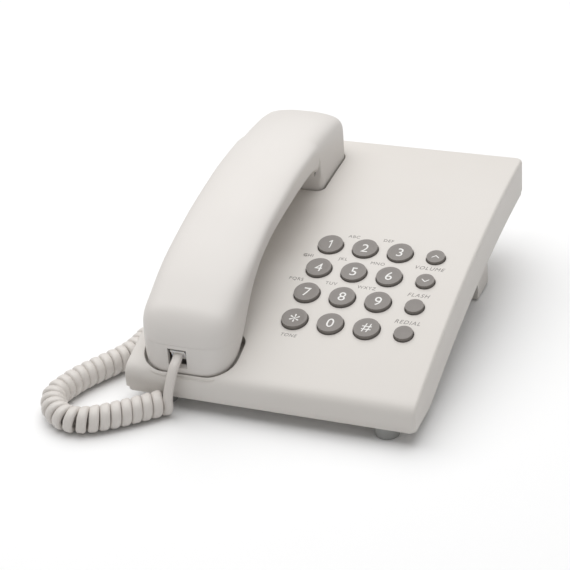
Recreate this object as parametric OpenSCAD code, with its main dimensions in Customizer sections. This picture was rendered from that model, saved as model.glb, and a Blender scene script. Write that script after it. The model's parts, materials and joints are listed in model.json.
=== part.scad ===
// Corded desk telephone: an arched base with a cradle and a keypad, a lift-off handset and a curly cord.
// Millimetres. +X is the keypad side, +Y is the rear, +Z is up.
// The origin is on the desk, under the middle of the base.

/* [Base] */
// Width of the base
base_w = 150; // [145:1:180]
// Depth of the base, from its front edge to its rear edge
base_d = 200; // [190:1:240]
// Thickness of the base, square to its top surface
slab_t = 20.3; // [19.5:0.1:26]
// Radius of the long curve of the top surface
top_r = 625; // [560:5:800]
// Slope of the top surface at its rear edge
rear_slope = 1.1; // [0.5:0.1:3]
// Height above the desk where the curved underside would meet the front face
front_gap = 1.2; // [1:0.1:4]
// Height of the flat part of the underside at the front, where the feet are
flat_h = 7.6; // [5:0.1:9]
// Thickness of the top skin
skin = 2.4; // [1.8:0.1:3]
// Thickness of the side walls
wall = 2.2; // [1.6:0.1:3]
// Radius of the rounded front lip
lip_r = 7; // [4:0.5:9]
// Radius of the four corners seen from above
corner_r = 4; // [2:0.5:10]
// Height of the lower housing that shows below the seam
seam_h = 2.4; // [2:0.1:4]

/* [Handset] */
// Length of the handset
handset_l = 185.5; // [183:0.5:190]
// Width of the handset
handset_w = 46; // [42:0.5:50]
// Distance from the base's middle to the handset's middle
handset_x = -44; // [-46:0.5:-42]
// Distance from the base's front edge to the handset's front end
handset_front = 2.5; // [2.3:0.1:4]
// Thickness of the handset's shells
shell_t = 2.2; // [1.6:0.1:2.8]
// Clearance between the handset and its two cups
cup_gap = 0.7; // [0.5:0.1:1.5]

/* [Keys] */
// Distance between neighbouring keys
key_pitch = 18.7; // [17:0.1:20]
// Diameter of a dial key
key_d = 12.9; // [10.5:0.05:14.5]
// Diameter of a function key
function_key_d = 9.2; // [8:0.1:12]
// Distance from the last dial column to the function column
function_gap = 18.8; // [16:0.1:20]
// Side position of the first dial column
key_x = 0; // [-3:0.5:3]
// Middle of the keypad, measured from the base's middle
keypad_y = -29.5; // [-36:0.5:-24]
// Height of a key above the top surface
key_proud = 1.6; // [1.2:0.1:3]
// Radial gap between a key and its hole
key_gap = 0.4; // [0.3:0.05:0.8]

/* [Stand] */
// Width of the desk stand
stand_w = 131; // [110:1:140]
// Depth of the desk stand, front to rear
stand_d = 19.5; // [14:0.5:26]
// Distance from the base's rear edge to the stand's rear wall
stand_back = 40.5; // [30:0.5:60]
// Thickness of the stand's walls
stand_t = 2.5; // [2:0.1:3.5]
// Thickness of the rubber pads under the stand
pad_t = 0.8; // [0.5:0.1:2]

/* [Cord] */
// Width of the cord
cord_d = 4.8; // [4:0.1:5.5]
// Outer diameter of the curly cord
coil_d = 13.5; // [12:0.5:16]

/* [Hidden] */
KEYS = [
    ["key_1", 0, 0], ["key_2", 1, 0], ["key_3", 2, 0], ["volume_up_key", 3, 0],
    ["key_4", 0, 1], ["key_5", 1, 1], ["key_6", 2, 1], ["volume_down_key", 3, 1],
    ["key_7", 0, 2], ["key_8", 1, 2], ["key_9", 2, 2], ["flash_key", 3, 2],
    ["key_star", 0, 3], ["key_0", 1, 3], ["key_hash", 2, 3], ["redial_key", 3, 3]];

eps = 0.01;
big = 400;
arc_fn = 720;
round_fn = 48;
small_fn = 28;

case_white = [0.90, 0.88, 0.85];
key_grey = [0.55, 0.53, 0.50];
steel_grey = [0.62, 0.63, 0.65];
black_plastic = [0.12, 0.12, 0.13];
mat_grey = [0.72, 0.72, 0.70];
board_tan = [0.72, 0.60, 0.36];
cord_white = [0.86, 0.84, 0.81];

// The top surface is part of a long cylinder that lies across the base.
// Its middle is at arc_y and arc_h, and the front bottom edge sets its height.
arc_y = base_d / 2 + top_r * sin(rear_slope);
front_slope = asin((arc_y + base_d / 2) / top_r);
arc_h = front_gap - (top_r - slab_t) * cos(front_slope);
function slope_at(y) = asin((arc_y - y) / top_r);
function height_at(y, depth = 0) = arc_h + sqrt(pow(top_r - depth, 2) - pow(arc_y - y, 2));

// Puts children on the top surface, with their +Z square to it
module on_top(x, y) {
    translate([x, y, height_at(y)])
    rotate([slope_at(y), 0, 0])
    children();
}

// A plain round bar across the base, at a depth under the top surface
module arc_bar(depth) {
    translate([-base_w, arc_y, arc_h])
    rotate([0, 90, 0])
    cylinder(r = top_r - depth, h = 2 * base_w, $fn = arc_fn);
}

// An upright block with rounded corners, centred on x and y
module rounded_block(w, d, h, r) {
    linear_extrude(h) {
        square([w - 2 * r, d], center = true);
        square([w, d - 2 * r], center = true);
        for (sx = [-1, 1], sy = [-1, 1])
            translate([sx * (w / 2 - r), sy * (d / 2 - r)])
            circle(r, $fn = round_fn);
    }
}

// The base's outline as an upright solid
module outline(inset) {
    translate([0, 0, -big / 2])
    rounded_block(base_w - 2 * inset, base_d - 2 * inset, big, max(corner_r - inset, 1));
}

// What the rounded front lip takes away: the round touches the front face and the top surface
module lip_cut(inset) {
    r = lip_r - inset;
    y = -base_d / 2 + lip_r;
    translate([-base_w, y, height_at(y, lip_r)])
    difference() {
        translate([0, -big, 0]) cube([2 * base_w, big - r * sin(slope_at(y)), big]);
        translate([-1, 0, 0]) rotate([0, 90, 0]) cylinder(r = r, h = 2 * base_w + 2, $fn = round_fn);
    }
}

// Everything under the surface at a depth. Low down, the underside and the seam are flat at the front
module below(depth) {
    arc_bar(depth);
    if (depth > slab_t / 2)
        translate([-base_w, -base_d, 0])
        cube([2 * base_w, base_d, flat_h + slab_t - depth]);
}

// A layer of the base between two depths, inset from the outline
module layer(depth_a, depth_b, inset) {
    difference() {
        intersection() {
            below(depth_a);
            outline(inset);
            translate([-base_w, -base_d, 0]) cube([2 * base_w, 2 * base_d, big]);
        }
        below(depth_b);
        if (depth_a < lip_r && inset < lip_r - 1) lip_cut(max(inset, depth_a));
    }
}

seam_depth = slab_t - seam_h;

// ---- Handset form -------------------------------------------------------------------------

handset_y = -base_d / 2 + handset_front;
front_h = height_at(handset_y);
chord = (height_at(handset_y + handset_l) - front_h) / handset_l;
function chord_h(s) = front_h + chord * s;

// Height of the handset's crown over the line between its ends: distance from the front, height
crown_points = [[-3, 25], [11, 30.5], [29, 35.7], [50, 38.8], [74, 40.8], [102, 40.4], [127, 37.8],
    [147, 34.7], [167, 30.2], [177, 26.8], [189, 21.6]];
// Height of the handset's underside over the same line
belly_points = [[-1, -6], [9, -4.2], [17, -2.6], [24, 3], [33, 13], [43, 20.6], [57, 25], [77, 26.6],
    [97, 25.7], [117, 23.9], [129, 22], [135, 19.8], [139, 16], [141.2, 10], [141.8, 1.4],
    [144, -0.6], [162, -4.2], [190, -9.4]];

// Smooth curve through points that never overshoots them
function secant(p, i) = (p[i + 1][1] - p[i][1]) / (p[i + 1][0] - p[i][0]);
function knot_slope(p, i) =
    i == 0 ? secant(p, 0) :
    i == len(p) - 1 ? secant(p, i - 1) :
    secant(p, i - 1) * secant(p, i) <= 0 ? 0 :
    2 / (1 / secant(p, i - 1) + 1 / secant(p, i));
function segment(p, x, i = 0) = i >= len(p) - 2 || x < p[i + 1][0] ? i : segment(p, x, i + 1);
function hermite(a, b, ma, mb, h, t) =
    a * (1 + 2 * t) * pow(1 - t, 2) + b * t * t * (3 - 2 * t)
    + h * (ma * t * pow(1 - t, 2) - mb * t * t * (1 - t));
function through(p, x) =
    let (i = segment(p, x), h = p[i + 1][0] - p[i][0])
    hermite(p[i][1], p[i + 1][1], knot_slope(p, i), knot_slope(p, i + 1), h, (x - p[i][0]) / h);

// How much of a rounded end is reached at s: 0 at the end itself and 1 where the rounding stops
function ease(t, n) = pow(1 - pow(min(max(t, 0), 1), n), 1 / n);
function front_ease(s, r, inset, n) = ease((inset + r - s) / r, n);
function rear_ease(s, r, inset, n) = ease((s - (handset_l - inset - r)) / r, n);
function smooth(t) = let (c = min(max(t, 0), 1)) c * c * (3 - 2 * c);

nose_r = 15;
heel_r = 10;
crown_drop = 3;
// The mouth end is a little wider than the grip
mouth_flare = 1;
function half_width(s, inset) = handset_w / 2 - inset + mouth_flare * (1 - smooth((s - 25) / 45))
    - (nose_r - inset) * (1 - front_ease(s, nose_r - inset, inset, 2.2))
    - (heel_r - inset) * (1 - rear_ease(s, heel_r - inset, inset, 2.2));
function crown_h(s, inset) = chord_h(s) + through(crown_points, s) - inset
    - (10 - inset) * (1 - front_ease(s, 10 - inset, inset, 2))
    - (7 - inset) * (1 - rear_ease(s, 7 - inset, inset, 2));
function belly_h(s, inset) = chord_h(s) + through(belly_points, s) + inset
    + 7 * (1 - front_ease(s, 8, inset, 2)) + 2 * (1 - rear_ease(s, 3, inset, 2));
function upper_power(s) = 5.5 + 2 * smooth((s - 37) / 90);
function lower_power(s) = 5 + smooth((s - 37) / 90);

// The ear block starts at block_s, and pinch rounds its two front edges
block_s = 141.3;
block_r = 3.5;
function pinch(s) = block_r * smooth((s - block_s + 3.3) / 3) * (1 - ease((block_s + block_r - s) / block_r, 2));

// One ring of the handset's skin, a soft-cornered box with a crowned top
ring_n = 28;
function signed_pow(v, n) = sign(v) * pow(abs(v), n);
function ring(s, inset) =
    let (
        w = half_width(s, inset),
        top = crown_h(s, inset),
        low = belly_h(s, inset),
        mid = low + 0.42 * (top - low))
    [for (k = [0 : ring_n - 1])
        let (
            c = -cos(360 * k / ring_n),
            v = sin(360 * k / ring_n),
            n = v > 0 ? upper_power(s) : lower_power(s),
            rise = pow(abs(v), 2 / n),
            narrow = v < 0 ? pinch(s - inset) * smooth(2 * rise) : 0,
            u = (w - narrow) * signed_pow(c, 2 / n),
            z = v > 0 ? mid + (top - mid) * rise : mid - (mid - low) * rise)
        [handset_x + u, handset_y + s, z - (v > 0 ? crown_drop * rise * pow(2 * u / handset_w, 2) : 0)]];

// Distances of the rings from the front, closer together where the form turns
function ring_places(inset) = concat(
    [for (k = [0 : 5]) inset + (nose_r - inset) * (1 - cos(15 * k))],
    [nose_r + 3, 23, 28, 34, 41, 49, 60, 74, 90, 106, 120, 130, 136],
    [139.4 + inset * 0.6, block_s + inset, 141.9 + inset, 142.8 + inset, 144 + inset, 146 + inset, 154, 164],
    [for (k = [0 : 5]) handset_l - inset - (heel_r - inset) * (1 - sin(15 * k + 15))]);

// A closed skin over rings that all have the same number of points
module skin_over(rings) {
    n = len(rings[0]);
    m = len(rings);
    polyhedron(
        points = [for (r = rings) each r],
        faces = concat(
            [[for (k = [0 : n - 1]) k]],
            [for (i = [0 : m - 2], k = [0 : n - 1])
                [i * n + k, (i + 1) * n + k, (i + 1) * n + (k + 1) % n, i * n + (k + 1) % n]],
            [[for (k = [n - 1 : -1 : 0]) (m - 1) * n + k]]));
}

module handset_form(inset) {
    skin_over([for (s = ring_places(inset)) ring(s, inset)]);
}

// The seam between the shells runs high round the front and low along the grip
seam_points = [[-5, 15.5], [12, 13], [24, 14], [36, 20], [50, 25.5], [64, 28], [97, 28.3], [122, 25.5],
    [132, 22.5], [138.5, 19], [141, 12], [142.5, 5], [145, 3], [162, -1], [195, -7.5]];
module below_seam(rise) {
    translate([handset_x - handset_w, 0, 0])
    rotate([90, 0, 90])
    linear_extrude(2 * handset_w)
    polygon(concat(
        [for (s = [-5 : 2.5 : 195]) [handset_y + s, chord_h(s) + through(seam_points, s) + rise]],
        [[handset_y + 195, -5], [handset_y - 5, -5]]));
}

// ---- Places ------------------------------------------------------------------------------

// Ear block of the handset: where it stands in its cup
ear_front = handset_y + block_s - 0.1;
ear_rear = handset_y + handset_l;
ear_low = chord_h(handset_l) - 8.9;
ear_floor = ear_low - 0.5;
cup_w = handset_w + 2 * cup_gap;
ear_cup_d = ear_rear - ear_front + 2 * cup_gap;
ear_mid = (ear_front + ear_rear) / 2;
mouth_depth = 6.6;
mouth_cup_d = 29;

// The ear cup has small front corners and large rear ones
module ear_cup(grow, down) {
    cup_h = 60;
    w = cup_w + 2 * grow;
    d = ear_cup_d + 2 * grow;
    translate([handset_x, ear_mid, ear_floor - down])
    intersection() {
        rounded_block(w, d, cup_h, block_r + cup_gap + grow);
        translate([0, -d / 2, 0]) rounded_block(w, 2 * d, cup_h, heel_r + cup_gap + grow);
    }
}

// The mouth cup is square to the top surface, with large rounded front corners
mouth_corner_r = nose_r - 2;
module mouth_cup(grow, down) {
    y0 = handset_front - 0.4;
    w = cup_w + 2 * mouth_flare + 2 * grow;
    on_top(0, -base_d / 2)
    translate([handset_x, 0, -mouth_depth - down])
    intersection() {
        translate([0, y0 + mouth_cup_d / 2, 0])
        rounded_block(w, mouth_cup_d + 2 * grow, 40, 6 + grow);
        translate([0, y0 + mouth_cup_d, 0])
        rounded_block(w, 2 * mouth_cup_d + 2 * grow, 40, mouth_corner_r + cup_gap + grow);
    }
}

// The shallow trough for the fingers, under the grip
scoop_r = 60;
scoop_deep = 4.5;
scoop_x = handset_x + 4;
scoop_y = -8;
scoop_l = 78;
module scoop(grow) {
    on_top(scoop_x, scoop_y)
    translate([0, scoop_l / 2 + grow, scoop_r - scoop_deep])
    rotate([90, 0, 0])
    cylinder(r = scoop_r + grow, h = scoop_l + 2 * grow, $fn = arc_fn);
}

// Keypad: one flat frame, square to the top surface at the keypad's middle
key_travel = 1.6;
flange_t = 1.2;
flange_gap = 0.5;
board_t = 1.6;
mat_t = 1;
mat_w = 3 * key_pitch + 16;
mat_d = 4 * key_pitch + 2;
dome_h = 2.2;
stem_low = -5.6;
mat_top = stem_low - dome_h;
board_top = mat_top - mat_t - 0.1;
keypad_mid_x = key_x + 1.5 * key_pitch;
module on_keypad(x, v) {
    on_top(keypad_mid_x, keypad_y)
    translate([x, v, 0])
    children();
}
function key_place(col, row) = [
    key_x - keypad_mid_x + (col < 3 ? col * key_pitch : 2 * key_pitch + function_gap),
    (1.5 - row) * key_pitch];
function key_size(col) = col < 3 ? key_d : function_key_d;
// How far the arched top has dropped below the keypad's flat frame
function arch_drop(v) = top_r - sqrt(top_r * top_r - v * v);

// Screws through the lower housing into posts of the upper one
screw_places = [[-12, -76], [40, -76], [-12, 84], [64, 84]];
post_r = 3.4;
screw_r = 1.4;
screw_hole_r = 1.7;
head_r = 2.7;
head_t = 1.5;
cup_t = 4.2;

// Sockets and small switches
line_jack_x = 30;
line_jack_w = 14;
line_jack_h = 13;
line_jack_l = 14;
line_z = height_at(base_d / 2 - wall, seam_depth) + 1.2;
socket_w = 9.8;
socket_h = 6.8;
cord_jack_y = -22;
cord_jack_z = height_at(cord_jack_y) - slab_t / 2;
plug_w = 7.7;
plug_h = 6.6;
plug_l = 11.7;
plug_gap = 0.2;
knob_w = 4;
knob_h = 3;
ringer_x = 58;
mode_x = 4;
knob_z = line_z + 7;
knob_travel = 3;

// ---- Base --------------------------------------------------------------------------------

module upper_housing() {
    color(case_white)
    difference() {
        layer(0, seam_depth, 0);
        // hollow inside, with walls round the cups and the trough, and posts
        difference() {
            layer(skin, slab_t, wall);
            ear_cup(wall, skin);
            intersection() {
                mouth_cup(wall, skin);
                translate([-base_w, -base_d, 0]) cube([2 * base_w, 2 * base_d, big]);
            }
            scoop(skin);
            for (p = screw_places)
                on_top(p[0], p[1])
                translate([0, 0, -seam_depth + cup_t - seam_h])
                cylinder(r = post_r, h = slab_t, $fn = round_fn);
            for (x = [-39.5, 39.5], v = [-36, 36])
                on_keypad(x, v)
                translate([0, 0, board_top])
                cylinder(r = 2, h = slab_t, $fn = small_fn);
        }
        ear_cup(0, 0);
        mouth_cup(0, 0);
        scoop(0);
        for (k = KEYS)
            let (p = key_place(k[1], k[2]))
            on_keypad(p[0], p[1])
            translate([0, 0, -slab_t / 2])
            cylinder(r = key_size(k[1]) / 2 + key_gap, h = slab_t, $fn = round_fn);
        for (p = screw_places)
            on_top(p[0], p[1])
            translate([0, 0, -slab_t])
            cylinder(r = screw_r - 0.2, h = slab_t - skin - 2, $fn = small_fn);
        // hook plunger, sockets and switch slots
        plunger_hole();
        line_window();
        cord_window();
        knob_slot(ringer_x);
        knob_slot(mode_x);
    }
}

module line_window() {
    translate([line_jack_x - line_jack_w / 2 - plug_gap, base_d / 2 - wall - 2, line_z - plug_gap])
    cube([line_jack_w + 2 * plug_gap, 10, line_jack_h + 2 * plug_gap]);
}

module cord_window() {
    translate([-base_w / 2 - 5, cord_jack_y - 6 - plug_gap, cord_jack_z - 6 - plug_gap])
    cube([12, 12 + 2 * plug_gap, 12 + 2 * plug_gap]);
}

module knob_slot(x) {
    translate([x - knob_w / 2 - knob_travel - 0.4, base_d / 2 - wall - 2, knob_z - knob_h / 2 - 0.3])
    cube([knob_w + 2 * knob_travel + 0.8, 10, knob_h + 0.6]);
}

module lower_housing() {
    color(case_white)
    difference() {
        union() {
            layer(seam_depth, slab_t, 0.5);
            // rim that locates the upper housing
            difference() {
                layer(seam_depth - 4, seam_depth + eps, wall + 0.2);
                layer(seam_depth - 5, seam_depth + 1, wall + 1.8);
            }
            // cups round the screw heads
            for (p = screw_places)
                on_top(p[0], p[1])
                translate([0, 0, -seam_depth - eps])
                cylinder(r = post_r + 1.2, h = cup_t - seam_h, $fn = round_fn);
        }
        for (p = screw_places)
            on_top(p[0], p[1]) {
                translate([0, 0, -slab_t - 1]) cylinder(r = head_r + 0.3, h = head_t + 1.4, $fn = small_fn);
                translate([0, 0, -slab_t - 1]) cylinder(r = screw_hole_r, h = slab_t, $fn = small_fn);
            }
        // sound slots under the buzzer
        for (k = [-2 : 2])
            on_top(buzzer_x + 4 * k, buzzer_y)
            translate([-0.8, -7, -slab_t - 1])
            cube([1.6, 14, seam_h + 2]);
        // rim cut-outs at the sockets and switches
        translate([0, 0, 0.2]) line_window();
        cord_window();
        knob_slot(ringer_x);
        knob_slot(mode_x);
        // the rim stays clear of the mouth cup and the ear cup
        intersection() {
            union() {
                mouth_cup(wall + 0.3, skin + 0.3);
                ear_cup(wall + 0.3, skin + 0.3);
            }
            layer(0, seam_depth, 0);
        }
    }
}

stand_rear = base_d / 2 - stand_back;
module desk_stand() {
    color(case_white)
    difference() {
        intersection() {
            translate([-stand_w / 2, stand_rear - stand_d, pad_t]) cube([stand_w, stand_d, 60]);
            arc_bar(slab_t);
        }
        translate([-stand_w / 2 + stand_t, stand_rear - stand_d + stand_t, pad_t + stand_t])
        cube([stand_w / 2 - 1.5 * stand_t, stand_d - 2 * stand_t, 60]);
        translate([stand_t / 2, stand_rear - stand_d + stand_t, pad_t + stand_t])
        cube([stand_w / 2 - 1.5 * stand_t, stand_d - 2 * stand_t, 60]);
    }
}

foot_r = 6;
foot_x = base_w / 2 - 17;
foot_y = -base_d / 2 + 9;
module front_feet() {
    color(mat_grey)
    for (s = [-1, 1])
        translate([s * foot_x, foot_y, 0])
        cylinder(r = foot_r, h = flat_h - 0.05, $fn = round_fn);
}

module stand_pads() {
    color(mat_grey)
    for (s = [-1, 1])
        translate([s * (stand_w / 2 - 12), stand_rear - stand_d / 2, 0])
        cylinder(r = 7, h = pad_t, $fn = round_fn);
}

module keypad_mat() {
    color(mat_grey)
    difference() {
        union() {
            on_keypad(0, 0) translate([-mat_w / 2, -mat_d / 2, mat_top - mat_t]) cube([mat_w, mat_d, mat_t]);
            for (k = KEYS)
                let (p = key_place(k[1], k[2]))
                on_keypad(p[0], p[1])
                translate([0, 0, mat_top - eps])
                cylinder(r1 = 4.2, r2 = 2.6, h = dome_h + eps, $fn = small_fn);
        }
        for (k = KEYS)
            let (p = key_place(k[1], k[2]))
            on_keypad(p[0], p[1])
            translate([0, 0, mat_top - mat_t - 1])
            cylinder(r = 1.6, h = mat_t + dome_h - 0.2, $fn = small_fn);
    }
}

board_w = mat_w + 14;
board_d = mat_d + 8;
module circuit_board() {
    color(board_tan)
    difference() {
        on_keypad(0, 0)
        translate([-board_w / 2, -board_d / 2, board_top - board_t])
        cube([board_w, board_d, board_t]);
        for (v = [-20, 20])
            on_keypad(-board_w / 2 + 3, v)
            translate([0, 0, board_top - 5])
            cylinder(r = 1.6, h = 10, $fn = small_fn);
    }
}

module board_components() {
    under = board_top - board_t;
    color(black_plastic)
    for (c = [[-24, -22, 12, 7, 3], [0, -24, 9, 6, 2.5], [22, -20, 16, 12, 4], [-22, 10, 10, 10, 2.5],
        [6, 14, 20, 8, 2.5]])
        on_keypad(c[0], c[1])
        translate([0, 0, under - c[4]])
        cube([c[2], c[3], c[4]]);
    color(steel_grey)
    for (c = [[30, 20], [30, 30], [-10, 30]])
        on_keypad(c[0], c[1])
        translate([0, 0, under - 4.2])
        cylinder(r = 3.2, h = 4.2, $fn = small_fn);
}

ballast_t = 3;
module ballast_plate() {
    color(steel_grey)
    intersection() {
        translate([handset_x - 12, -48, 0]) cube([36, 80, 100]);
        layer(seam_depth - ballast_t, seam_depth, wall + 2);
    }
}

buzzer_x = 52;
buzzer_y = 70;
module ringer_buzzer() {
    color(black_plastic)
    on_top(buzzer_x, buzzer_y)
    translate([0, 0, -seam_depth + 0.05])
    difference() {
        cylinder(r = 12, h = 5, $fn = round_fn);
        translate([0, 0, -1]) cylinder(r = 10.2, h = 4.4, $fn = round_fn);
        for (a = [0 : 60 : 300]) rotate([0, 0, a]) translate([6, 0, 2]) cylinder(r = 1, h = 6, $fn = small_fn);
    }
}

// Hook switch under the ear cup: a plunger that the handset holds down
plunger_w = 11;
plunger_l = 7;
plunger_gap = 0.3;
plunger_rise = 2.6;
plunger_flange = 1;
hook_y = ear_mid + 4;
plate_top = height_at(hook_y, seam_depth);
plunger_low = ear_floor - skin - plunger_rise - plunger_flange - 0.1;
module plunger_hole() {
    translate([handset_x, hook_y, ear_floor - 10])
    rounded_block(plunger_w + 2 * plunger_gap, plunger_l + 2 * plunger_gap, 20, 1.5);
}

module hook_plunger() {
    color(case_white) {
        translate([handset_x, hook_y, plunger_low + eps])
        rounded_block(plunger_w, plunger_l, ear_floor + 0.3 - plunger_low, 1.2);
        translate([handset_x, hook_y, plunger_low])
        rounded_block(plunger_w + 3, plunger_l + 3, plunger_flange, 1.5);
    }
}

module hook_spring() {
    low = plate_top + 0.1;
    color(steel_grey)
    translate([handset_x + 4, hook_y, low])
    difference() {
        cylinder(r = 1.8, h = plunger_low - low, $fn = small_fn);
        translate([0, 0, -1]) cylinder(r = 1.2, h = 20, $fn = small_fn);
    }
}

module hook_switch() {
    color(black_plastic) {
        translate([handset_x - 20, hook_y - 4, plate_top + 0.5]) cube([21, 8, 0.9]);
        translate([handset_x - 18, hook_y - 3, plate_top + 1.3]) cube([7, 6, 3.2]);
    }
}

// A socket with a notch under its opening for the plug's latch
latch_w = 3.2;
module jack(w, h, l, cw, ch) {
    notch_w = latch_w + 0.6;
    difference() {
        translate([-w / 2, 0, 0]) cube([w, l, h]);
        translate([-cw / 2, 2, (h - ch) / 2]) cube([cw, l, ch]);
        translate([-notch_w / 2, 2, (h - ch) / 2 - 1.6]) cube([notch_w, l, 3]);
    }
}

module line_jack() {
    color(black_plastic)
    translate([line_jack_x, base_d / 2 - 0.3 - line_jack_l, line_z])
    jack(line_jack_w, line_jack_h, line_jack_l, socket_w, socket_h);
}

module base_cord_jack() {
    color(black_plastic)
    translate([-base_w / 2 + 14.5, cord_jack_y, cord_jack_z - 6])
    rotate([0, 0, 90])
    jack(12, 12, 14, plug_w + 2 * plug_gap, plug_h + 2 * plug_gap);
}

module knob(x) {
    translate([x - knob_w / 2, base_d / 2 - wall - 1.2, knob_z - knob_h / 2])
    cube([knob_w, wall + 0.9, knob_h]);
    translate([x - knob_w / 2 - 2, base_d / 2 - wall - 2.6, knob_z - knob_h / 2 - 1])
    cube([knob_w + 4, 1.5, knob_h + 2]);
}

module ringer_knob() {
    color(key_grey) knob(ringer_x);
}

module dial_mode_knob() {
    color(key_grey) knob(mode_x);
}

module housing_screws() {
    color(steel_grey)
    for (p = screw_places)
        on_top(p[0], p[1])
        translate([0, 0, -slab_t]) {
            difference() {
                cylinder(r = head_r, h = head_t, $fn = small_fn);
                translate([0, 0, -eps]) cylinder(r = 1.1, h = 0.8, $fn = 6);
            }
            cylinder(r = screw_r - 0.2, h = 10, $fn = small_fn);
        }
}

// ---- Keys --------------------------------------------------------------------------------

module key(col, row) {
    p = key_place(col, row);
    r = key_size(col) / 2;
    drop = arch_drop(p[1]);
    dish_r = 3.8 * r;
    color(key_grey)
    on_keypad(p[0], p[1]) {
        difference() {
            translate([0, 0, -drop - skin - flange_gap - eps])
            cylinder(r = r, h = skin + flange_gap + key_proud + eps, $fn = round_fn);
            translate([0, 0, key_proud - drop + sqrt(dish_r * dish_r - pow(0.78 * r, 2))])
            sphere(r = dish_r, $fn = 96);
        }
        translate([0, 0, -drop - skin - flange_gap - flange_t])
        cylinder(r = r + 1.2, h = flange_t, $fn = round_fn);
        translate([0, 0, stem_low])
        cylinder(r = 2.2, h = -drop - skin - flange_gap - stem_low, $fn = small_fn);
    }
}

// ---- Handset -----------------------------------------------------------------------------

// The plug leans with the handset's front end
plug_tilt = 27;
plug_x = handset_x - 2;
plug_y = handset_y + 1.5;
plug_z = chord_h(0) + 8.2;
module at_plug() {
    translate([plug_x, plug_y, plug_z])
    rotate([plug_tilt, 0, 0])
    children();
}

plug_out = [0, -cos(plug_tilt), -sin(plug_tilt)];
plug_face = [plug_x, plug_y, plug_z] - 0.6 * plug_out;
module plug_opening(gap) {
    at_plug()
    translate([-plug_w / 2 - 1 - gap, -10, -plug_h / 2 - 1.2 - gap])
    cube([plug_w + 2 + 2 * gap, 25.4, plug_h + 2.4 + 2 * gap]);
}

module handset_outer_shell() {
    color(case_white)
    difference() {
        handset_form(0);
        difference() {
            handset_form(shell_t);
            // posts for the two screws
            for (y = handset_screw_y)
                translate([handset_x, y, belly_h(y - handset_y, shell_t) + 0.2])
                cylinder(r = post_r, h = 40, $fn = round_fn);
        }
        for (y = handset_screw_y)
            translate([handset_x, y, belly_h(y - handset_y, 0)])
            cylinder(r = handset_screw_r, h = 9, $fn = small_fn);
        below_seam(0);
        plug_opening(0.1);
    }
}

receiver_y = ear_mid + 1;
handset_screw_y = [handset_y + 52, handset_y + 122];
handset_screw_r = 1.2;
mic_x = handset_x + 9;
mic_s = 15;
mic_tilt = 20;
module handset_inner_shell() {
    color(case_white)
    difference() {
        intersection() {
            handset_form(0);
            below_seam(-0.05);
        }
        handset_form(shell_t);
        plug_opening(0.1);
        for (a = [0 : 60 : 300])
            translate([handset_x + 6 * cos(a), receiver_y + 6 * sin(a), ear_low - 3])
            cylinder(r = 1.2, h = 8, $fn = 16);
        translate([handset_x, receiver_y, ear_low - 3]) cylinder(r = 1.2, h = 8, $fn = 16);
        translate([mic_x, handset_y + mic_s, belly_h(mic_s, 0) - 4]) cylinder(r = 1, h = 8, $fn = 16);
        for (y = handset_screw_y)
            translate([handset_x, y, belly_h(y - handset_y, 0) - 2])
            cylinder(r = 1.5, h = 8, $fn = 16);
    }
}

module receiver_capsule() {
    color(black_plastic)
    translate([handset_x, receiver_y, ear_low + shell_t + 2.2]) {
        cylinder(r = 15, h = 6, $fn = round_fn);
        translate([0, 0, 6 - eps]) cylinder(r = 9, h = 4, $fn = round_fn);
    }
}

module receiver_gasket() {
    color(mat_grey)
    translate([handset_x, receiver_y, ear_low + shell_t + 0.7])
    difference() {
        cylinder(r = 15, h = 1.5, $fn = round_fn);
        translate([0, 0, -1]) cylinder(r = 11, h = 4, $fn = round_fn);
    }
}

module at_microphone() {
    translate([mic_x, handset_y + mic_s, belly_h(mic_s, shell_t) + 2.2])
    rotate([mic_tilt, 0, 0])
    children();
}

module microphone_boot() {
    color(mat_grey)
    at_microphone()
    difference() {
        cylinder(r = 4.4, h = 6, $fn = round_fn);
        translate([0, 0, 1]) cylinder(r = 3.6, h = 6, $fn = round_fn);
        translate([0, 0, -1]) cylinder(r = 1.2, h = 3, $fn = small_fn);
    }
}

module microphone_capsule() {
    color(steel_grey)
    at_microphone()
    translate([0, 0, 1])
    cylinder(r = 3.6, h = 4.4, $fn = round_fn);
}

weight_y = handset_y + 70;
module handset_weight() {
    color(steel_grey)
    translate([handset_x - 8, weight_y, chord_h(70) + 29])
    rotate([atan(chord) + 0.5, 0, 0])
    cube([16, 44, 5]);
}

module handset_cord_jack() {
    color(black_plastic)
    at_plug()
    translate([0, 15.4, -plug_h / 2 - 1.2])
    mirror([0, 1, 0])
    jack(plug_w + 2, plug_h + 2.4, 14, plug_w + 2 * plug_gap, plug_h + 2 * plug_gap);
}

module handset_screws() {
    color(steel_grey)
    for (y = handset_screw_y)
        translate([handset_x, y, belly_h(y - handset_y, 0) + 0.6])
        cylinder(r = handset_screw_r, h = 7, $fn = small_fn);
}

// ---- Cord --------------------------------------------------------------------------------

// Route of the lead from the handset's plug to the curly part
lead_points = [plug_face + 0.05 * plug_out, plug_face + 3.6 * plug_out, [-46.4, -101.7, 25.8],
    [-47.5, -104, 22], [-49.5, -104.8, 17.5], [-51.5, -104.5, 13.5]];
// Middle line of the curly part
coil_points = [[-52, -103.8, 6.75], [-57, -108.5, 6.75], [-63, -113.8, 6.75], [-69, -119, 6.75],
    [-75.5, -124, 6.75], [-82, -128, 6.75], [-89, -130, 6.75], [-96, -128.5, 6.75],
    [-102.5, -123.5, 6.75], [-106.5, -116.5, 6.75], [-107.3, -112.5, 6.75], [-107, -108.5, 6.75],
    [-103.5, -97, 6.75],
    [-98, -86, 6.75], [-92, -75.5, 6.75], [-88, -67, 6.75], [-86, -57, 6.75], [-85.5, -48, 6.75]];
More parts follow.
